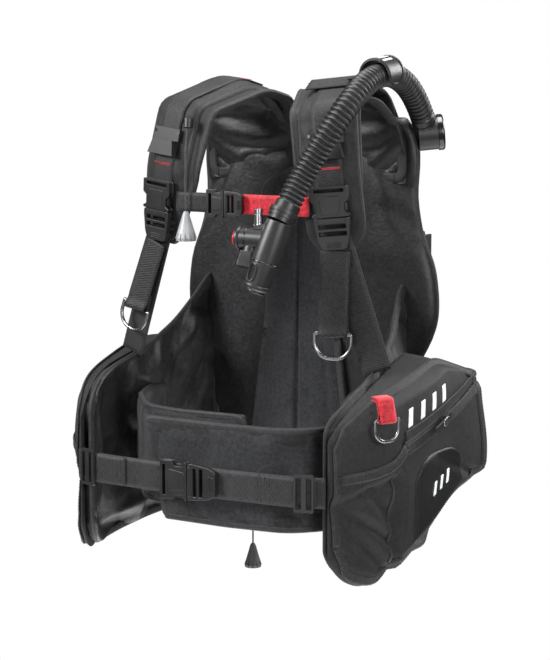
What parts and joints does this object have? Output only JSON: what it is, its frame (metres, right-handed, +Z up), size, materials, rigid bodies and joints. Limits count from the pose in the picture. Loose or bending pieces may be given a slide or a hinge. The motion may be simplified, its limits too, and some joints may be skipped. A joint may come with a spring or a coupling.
{
  "type": "buoyancy compensator vest",
  "caption": "Scuba diving vest with padded shoulder straps, cummerbund, cargo pockets, corrugated inflator hose, backplate and tank band.",
  "frame": {"origin": "centre of the tank band, on the tank's axis", "axes": "+Z up along the tank's axis, +X the wearer's left, -Y the way the wearer faces"},
  "size_m": [0.5232, 0.5302, 0.7232],
  "materials": {
    "cordura": "coarse plain-weave nylon",
    "nylon": "smooth semi-gloss nylon",
    "pad_cloth": "fine grey-black woven cloth",
    "webbing": "twill polyester webbing",
    "webbing_red": "red polyester webbing",
    "binding": "grosgrain binding tape",
    "plastic_black": "moulded acetal, satin",
    "plastic_gloss": "glossy black moulding",
    "plastic_red": "red moulding",
    "knob_light": "light grey moulding",
    "knob_grey": "mid grey moulding",
    "rubber_hose": "moulded rubber",
    "steel": "polished stainless steel",
    "chrome": "chromed brass",
    "cord": "braided cord"
  },
  "bodies": {
    "vest": {"back_pad": "pad_cloth", "rear_bladder": "nylon", "backplate": "plastic_black", "tank_band": "webbing", "cam_buckle_frame": "plastic_black", "carry_handle": "plastic_black", "belt_triglides": "plastic_black", "elbow_cap": "plastic_gloss", "elbow_valve": "plastic_black", "hose_rear": "rubber_hose", "pocket_ring_tab": "webbing_red", "strap_clips": "plastic_black", "rear_dump_valve": "plastic_black", "shoulder_dump_guide": "plastic_black", "sternum_buckle_female": "plastic_black", "sternum_webbing_black": "webbing", "sternum_webbing_red": "webbing_red", "waist_buckle_female": "plastic_black", "cummerbund_wing_left": "pad_cloth", "load_webbing_left": "webbing", "lobe_left": "nylon", "pocket_left": "cordura", "shoulder_buckle_female_left": "plastic_black", "shoulder_strap_left": "cordura", "strap_webbing_left": "webbing", "waist_webbing_left": "webbing", "cummerbund_wing_right": "pad_cloth", "load_webbing_right": "webbing", "lobe_right": "nylon", "pocket_right": "cordura", "shoulder_buckle_female_right": "plastic_black", "shoulder_strap_right": "cordura", "strap_webbing_right": "webbing", "waist_webbing_right": "webbing"},
    "inflator": {"hose_front": "rubber_hose", "hose_collar": "rubber_hose", "inflator_body": "plastic_black", "mouthpiece": "plastic_gloss", "inflator_nipple": "chrome"},
    "inflate_button": {"inflate_button": "plastic_red"},
    "deflate_button": {"deflate_button": "plastic_black"},
    "shoulder_dump_pull": {"shoulder_dump_cord": "cord", "shoulder_dump_knob": "knob_light"},
    "rear_dump_pull": {"rear_dump_cord": "cord", "rear_dump_knob": "knob_grey"},
    "cam_lever": {"cam_buckle_lever": "plastic_black"},
    "hose_flap": {"hose_flap": "rubber_hose"},
    "pocket_ring_left": {"pocket_d_ring_left": "steel"},
    "waist_male": {"waist_buckle_male": "plastic_black"},
    "sternum_male": {"sternum_buckle_male": "plastic_black"},
    "shoulder_male_left": {"shoulder_buckle_male_left": "plastic_black", "tail_webbing_left": "webbing"},
    "tail_ring_left": {"tail_d_ring_left": "steel"},
    "zip_left": {"zip_slider_left": "rubber_hose"},
    "shoulder_male_right": {"shoulder_buckle_male_right": "plastic_black", "tail_webbing_right": "webbing"},
    "tail_ring_right": {"tail_d_ring_right": "steel"},
    "zip_right": {"zip_slider_right": "rubber_hose"}
  },
  "joints": [
    {"name": "inflator_swing", "type": "hinge", "parent": "vest", "child": "inflator", "pos_m": [0.1565, -0.2735, 0.2365], "axis": [-1, 0, 0], "range_deg": [0, 30]},
    {"name": "inflate_button_press", "type": "slide", "parent": "inflator", "child": "inflate_button", "axis": [0.998, 0.0599, -0.02], "range_m": [0, 0.0035], "stiffness_N_per_m": 260, "springref_m": -0.002},
    {"name": "deflate_button_press", "type": "slide", "parent": "inflator", "child": "deflate_button", "axis": [0.2579, 0.2152, 0.9419], "range_m": [0, 0.0035], "stiffness_N_per_m": 260, "springref_m": -0.002},
    {"name": "shoulder_dump_pull", "type": "slide", "parent": "vest", "child": "shoulder_dump_pull", "axis": [0, 0, -1], "range_m": [0, 0.012], "stiffness_N_per_m": 150, "springref_m": -0.004},
    {"name": "rear_dump_pull", "type": "slide", "parent": "vest", "child": "rear_dump_pull", "axis": [0, 0, -1], "range_m": [0, 0.012], "stiffness_N_per_m": 150, "springref_m": -0.004},
    {"name": "cam_lever", "type": "hinge", "parent": "vest", "child": "cam_lever", "pos_m": [0.1058, -0.02, 0], "axis": [0, 0, -1], "range_deg": [0, 95]},
    {"name": "hose_flap", "type": "hinge", "parent": "vest", "child": "hose_flap", "pos_m": [0.13911, -0.20291, 0.25417], "axis": [-0.0349, -0.9939, -0.1046], "range_deg": [0, 50]},
    {"name": "waist_release", "type": "slide", "parent": "vest", "child": "waist_male", "axis": [1, 0, 0], "range_m": [0, 0.026]},
    {"name": "sternum_release", "type": "slide", "parent": "vest", "child": "sternum_male", "axis": [1, 0, 0], "range_m": [0, 0.018]},
    {"name": "shoulder_release_left", "type": "slide", "parent": "vest", "child": "shoulder_male_left", "axis": [0.0892, 0.0737, -0.9933], "range_m": [0, 0.022]},
    {"name": "tail_ring_left", "type": "hinge", "parent": "shoulder_male_left", "child": "tail_ring_left", "pos_m": [0.13206, -0.29994, -0.06862], "axis": [0.9687, 0.2478, -0.0173], "range_deg": [-70, 10]},
    {"name": "zip_left", "type": "slide", "parent": "vest", "child": "zip_left", "axis": [0, -0.9629, -0.27], "range_m": [0, 0.06]},
    {"name": "shoulder_release_right", "type": "slide", "parent": "vest", "child": "shoulder_male_right", "axis": [-0.0892, 0.0737, -0.9933], "range_m": [0, 0.022]},
    {"name": "tail_ring_right", "type": "hinge", "parent": "shoulder_male_right", "child": "tail_ring_right", "pos_m": [-0.16431, -0.29755, -0.05273], "axis": [0.9192, -0.2174, -0.3283], "range_deg": [-70, 10]},
    {"name": "zip_right", "type": "slide", "parent": "vest", "child": "zip_right", "axis": [0, -0.9629, -0.27], "range_m": [0, 0.06]},
    {"name": "pocket_ring_left", "type": "hinge", "parent": "vest", "child": "pocket_ring_left", "pos_m": [0.23516, -0.35232, -0.16], "axis": [0.475, 0.88, 0], "range_deg": [-80, 0]}
  ]
}
